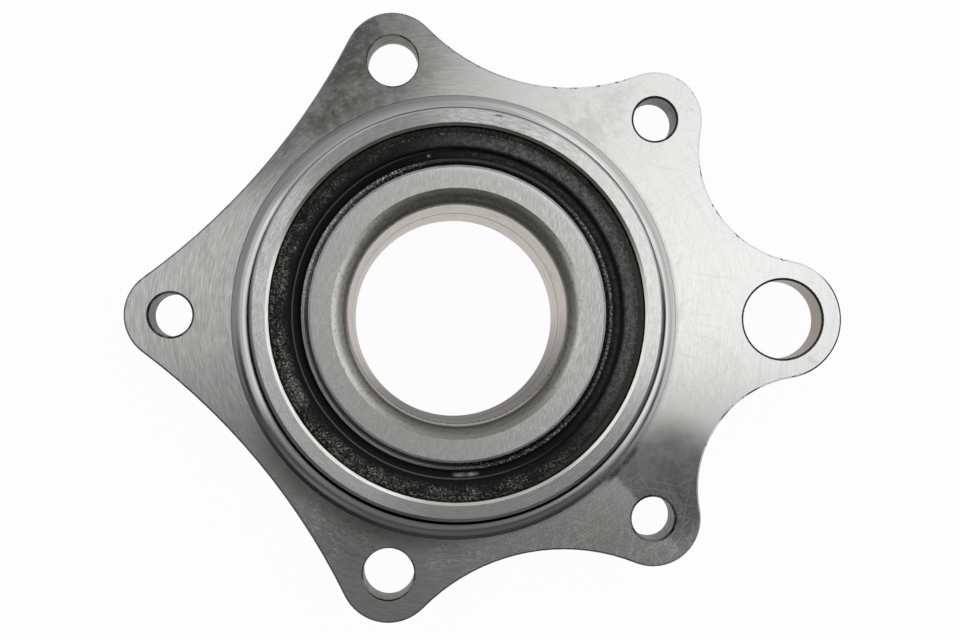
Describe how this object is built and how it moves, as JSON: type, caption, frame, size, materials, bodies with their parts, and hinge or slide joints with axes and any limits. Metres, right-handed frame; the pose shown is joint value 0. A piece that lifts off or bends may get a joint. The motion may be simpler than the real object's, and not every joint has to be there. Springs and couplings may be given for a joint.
{
  "type": "flanged wheel hub bearing",
  "caption": "Sealed double-row ball bearing for a wheel hub: one-piece outer ring with a long spigot and an irregular bolt flange, split inner ring with a through bore.",
  "frame": {"origin": "on the bearing axis, in the plane of the flange's mounting face", "axes": "+Z along the bore towards the spigot end, +X towards the large flange hole"},
  "size_m": [0.1602, 0.1358, 0.0454],
  "materials": {
    "forged_ring_steel": "turned and milled bearing steel",
    "ground_ring_steel": "ground",
    "ball_steel": "lapped",
    "cage_polymer": "moulded polyamide, glass filled",
    "seal_rubber": "matte nitrile",
    "seal_sheet_steel": "drawn sheet, phosphated",
    "slinger_steel": "drawn stainless sheet",
    "clip_steel": "spring steel"
  },
  "bodies": {
    "outer_ring_body": {"flanged_outer_ring": "forged_ring_steel", "seal_case_front": "seal_sheet_steel", "seal_case_rear": "seal_sheet_steel", "seal_rubber_front": "seal_rubber", "seal_rubber_rear": "seal_rubber"},
    "inner_ring_body": {"inner_ring_front": "ground_ring_steel", "inner_ring_rear": "ground_ring_steel", "inner_ring_clip": "clip_steel", "slinger_front": "slinger_steel", "slinger_rear": "slinger_steel"},
    "cage_front_body": {"cage_front": "cage_polymer", "ball_front_01": "ball_steel", "ball_front_02": "ball_steel", "ball_front_03": "ball_steel", "ball_front_04": "ball_steel", "ball_front_05": "ball_steel", "ball_front_06": "ball_steel", "ball_front_07": "ball_steel", "ball_front_08": "ball_steel", "ball_front_09": "ball_steel", "ball_front_10": "ball_steel", "ball_front_11": "ball_steel", "ball_front_12": "ball_steel", "ball_front_13": "ball_steel"},
    "cage_rear_body": {"cage_rear": "cage_polymer", "ball_rear_01": "ball_steel", "ball_rear_02": "ball_steel", "ball_rear_03": "ball_steel", "ball_rear_04": "ball_steel", "ball_rear_05": "ball_steel", "ball_rear_06": "ball_steel", "ball_rear_07": "ball_steel", "ball_rear_08": "ball_steel", "ball_rear_09": "ball_steel", "ball_rear_10": "ball_steel", "ball_rear_11": "ball_steel", "ball_rear_12": "ball_steel", "ball_rear_13": "ball_steel"}
  },
  "joints": [
    {"name": "hub_spin", "type": "hinge", "parent": "outer_ring_body", "child": "inner_ring_body", "pos_m": [0, 0, 0.0065], "axis": [0, 0, 1], "continuous": true},
    {"name": "cage_front_spin", "type": "hinge", "parent": "outer_ring_body", "child": "cage_front_body", "pos_m": [0, 0, 0.0151], "axis": [0, 0, 1], "continuous": true},
    {"name": "cage_rear_spin", "type": "hinge", "parent": "outer_ring_body", "child": "cage_rear_body", "pos_m": [0, 0, -0.0021], "axis": [0, 0, 1], "continuous": true}
  ],
  "couplings": [
    {"joint": "cage_front_spin", "follows": "hub_spin", "ratio": 0.42216},
    {"joint": "cage_rear_spin", "follows": "hub_spin", "ratio": 0.42216}
  ]
}
